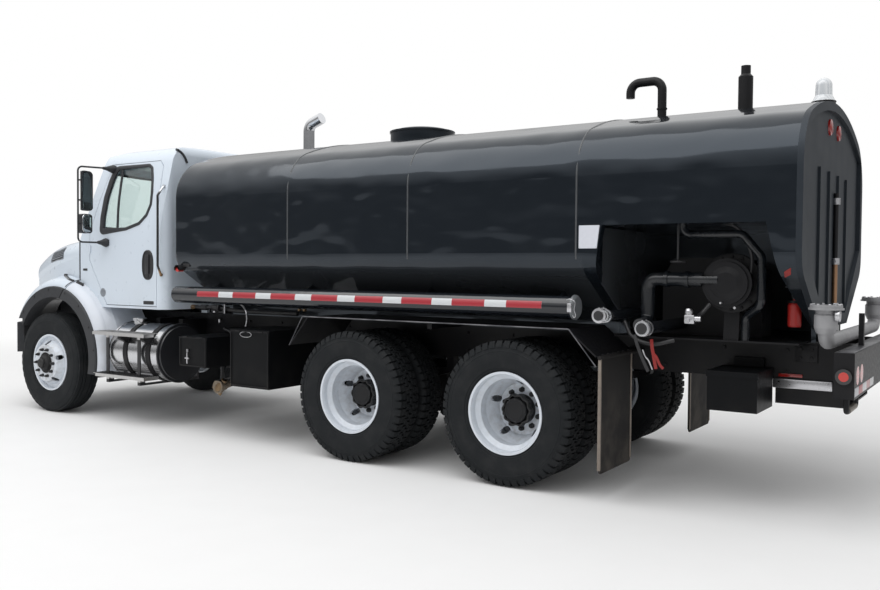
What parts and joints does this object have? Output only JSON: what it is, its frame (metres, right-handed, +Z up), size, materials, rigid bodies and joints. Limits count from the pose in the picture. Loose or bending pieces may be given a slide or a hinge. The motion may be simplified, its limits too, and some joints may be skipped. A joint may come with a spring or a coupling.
{
  "type": "water tank truck",
  "caption": "Water tank truck: conventional cab with tilting hood, smooth oval-topped tank, tail pump bay, twin drive axles with dual wheels.",
  "frame": {"origin": "on the ground under the middle of the truck", "axes": "+X forward, +Y to the truck's left, +Z up"},
  "size_m": [8.8498, 2.578, 3.282],
  "materials": {
    "black_plastic": "grained black plastic",
    "cab_paint": "white gloss paint",
    "cast_metal": "grey cast metal and black pipe",
    "chassis_paint": "black chassis paint",
    "chrome": "bright chrome",
    "flap_rubber": "matt rubber",
    "glass": "clear glass",
    "grey_plastic": "grained dark grey plastic",
    "lamp_lens": "clear and coloured lens",
    "polished_aluminium": "polished",
    "radiator_core": "dull finned core",
    "red_paint": "red gloss paint",
    "seat_cloth": "dark grey cloth",
    "tank_paint": "black gloss paint",
    "tyre_rubber": "matt black rubber",
    "wheel_paint": "white gloss paint with a black hub"
  },
  "bodies": {
    "chassis": {"cab_glass": "glass", "cab_shell": "cab_paint", "cab_steps": "polished_aluminium", "chassis_frame": "chassis_paint", "dashboard": "black_plastic", "drive_axles": "chassis_paint", "driveline": "chassis_paint", "engine": "chassis_paint", "exhaust_stack": "chrome", "fire_extinguisher": "red_paint", "front_axle": "chassis_paint", "front_bumper": "grey_plastic", "fuel_tank": "polished_aluminium", "grab_handles": "chassis_paint", "hose_tubes": "tank_paint", "lamps": "lamp_lens", "leaf_springs": "chassis_paint", "mud_flaps": "flap_rubber", "pump_piping": "cast_metal", "pump_set": "chassis_paint", "quarter_fenders": "cab_paint", "radiator": "radiator_core", "rear_beam": "chassis_paint", "rear_fenders": "chassis_paint", "rear_housing": "tank_paint", "seats": "seat_cloth", "side_boxes": "chassis_paint", "spray_heads": "cast_metal", "tank_fittings": "chassis_paint", "tank_straps": "chassis_paint", "water_tank": "tank_paint"},
    "hood": {"hood": "cab_paint", "grille": "black_plastic", "headlamps": "lamp_lens", "front_flares": "grey_plastic"},
    "door_left": {"door_left": "cab_paint", "door_glass_left": "glass", "mirror_left": "grey_plastic"},
    "door_right": {"door_right": "cab_paint", "door_glass_right": "glass", "mirror_right": "grey_plastic"},
    "knuckle_left": {"knuckle_left": "chassis_paint"},
    "knuckle_right": {"knuckle_right": "chassis_paint"},
    "tie_rod": {"tie_rod": "chassis_paint"},
    "steering_wheel": {"steering_wheel": "black_plastic"},
    "manhole_lid": {"manhole_lid": "tank_paint"},
    "wheel_front_left": {"rim_front_left": "wheel_paint", "tyre_front_left": "tyre_rubber"},
    "wheel_front_right": {"rim_front_right": "wheel_paint", "tyre_front_right": "tyre_rubber"},
    "wheel_mid_left": {"rims_mid_left": "wheel_paint", "tyres_mid_left": "tyre_rubber"},
    "wheel_mid_right": {"rims_mid_right": "wheel_paint", "tyres_mid_right": "tyre_rubber"},
    "wheel_rear_left": {"rims_rear_left": "wheel_paint", "tyres_rear_left": "tyre_rubber"},
    "wheel_rear_right": {"rims_rear_right": "wheel_paint", "tyres_rear_right": "tyre_rubber"}
  },
  "joints": [
    {"name": "hood_tilt", "type": "hinge", "parent": "chassis", "child": "hood", "pos_m": [4.365, 0, 0.945], "axis": [0, 1, 0], "range_deg": [0, 70]},
    {"name": "door_left_swing", "type": "hinge", "parent": "chassis", "child": "door_left", "pos_m": [2.905, 1.008, 1.8], "axis": [0, 0, -1], "range_deg": [0, 65]},
    {"name": "door_right_swing", "type": "hinge", "parent": "chassis", "child": "door_right", "pos_m": [2.905, -1.008, 1.8], "axis": [0, 0, 1], "range_deg": [0, 65]},
    {"name": "manhole_lid_swing", "type": "hinge", "parent": "chassis", "child": "manhole_lid", "pos_m": [-0.605, -0.335, 2.783], "axis": [1, 0, 0], "range_deg": [0, 100]},
    {"name": "steer_left", "type": "hinge", "parent": "chassis", "child": "knuckle_left", "pos_m": [3.405, 0.85, 0.525], "axis": [0, 0, 1], "range_deg": [-35, 35]},
    {"name": "steer_right", "type": "hinge", "parent": "chassis", "child": "knuckle_right", "pos_m": [3.405, -0.85, 0.525], "axis": [0, 0, 1], "range_deg": [-35, 35]},
    {"name": "tie_rod_eye", "type": "hinge", "parent": "knuckle_left", "child": "tie_rod", "pos_m": [3.215, 0.85, 0.35], "axis": [0, 0, 1], "range_deg": [-35, 35]},
    {"name": "steering_wheel_turn", "type": "hinge", "parent": "chassis", "child": "steering_wheel", "pos_m": [2.54515, 0.43, 1.80231], "axis": [-0.7314, 0, 0.682], "range_deg": [-630, 630]},
    {"name": "wheel_front_left_spin", "type": "hinge", "parent": "knuckle_left", "child": "wheel_front_left", "pos_m": [3.405, 1.015, 0.525], "axis": [0, 1, 0], "continuous": true},
    {"name": "wheel_front_right_spin", "type": "hinge", "parent": "knuckle_right", "child": "wheel_front_right", "pos_m": [3.405, -1.015, 0.525], "axis": [0, 1, 0], "continuous": true},
    {"name": "wheel_mid_left_spin", "type": "hinge", "parent": "chassis", "child": "wheel_mid_left", "pos_m": [-0.735, 0.915, 0.525], "axis": [0, 1, 0], "continuous": true},
    {"name": "wheel_mid_right_spin", "type": "hinge", "parent": "chassis", "child": "wheel_mid_right", "pos_m": [-0.735, -0.915, 0.525], "axis": [0, 1, 0], "continuous": true},
    {"name": "wheel_rear_left_spin", "type": "hinge", "parent": "chassis", "child": "wheel_rear_left", "pos_m": [-2.155, 0.915, 0.525], "axis": [0, 1, 0], "continuous": true},
    {"name": "wheel_rear_right_spin", "type": "hinge", "parent": "chassis", "child": "wheel_rear_right", "pos_m": [-2.155, -0.915, 0.525], "axis": [0, 1, 0], "continuous": true}
  ],
  "couplings": [
    {"joint": "steer_right", "follows": "steer_left", "ratio": 1},
    {"joint": "tie_rod_eye", "follows": "steer_left", "ratio": -1},
    {"joint": "steering_wheel_turn", "follows": "steer_left", "ratio": 18}
  ]
}
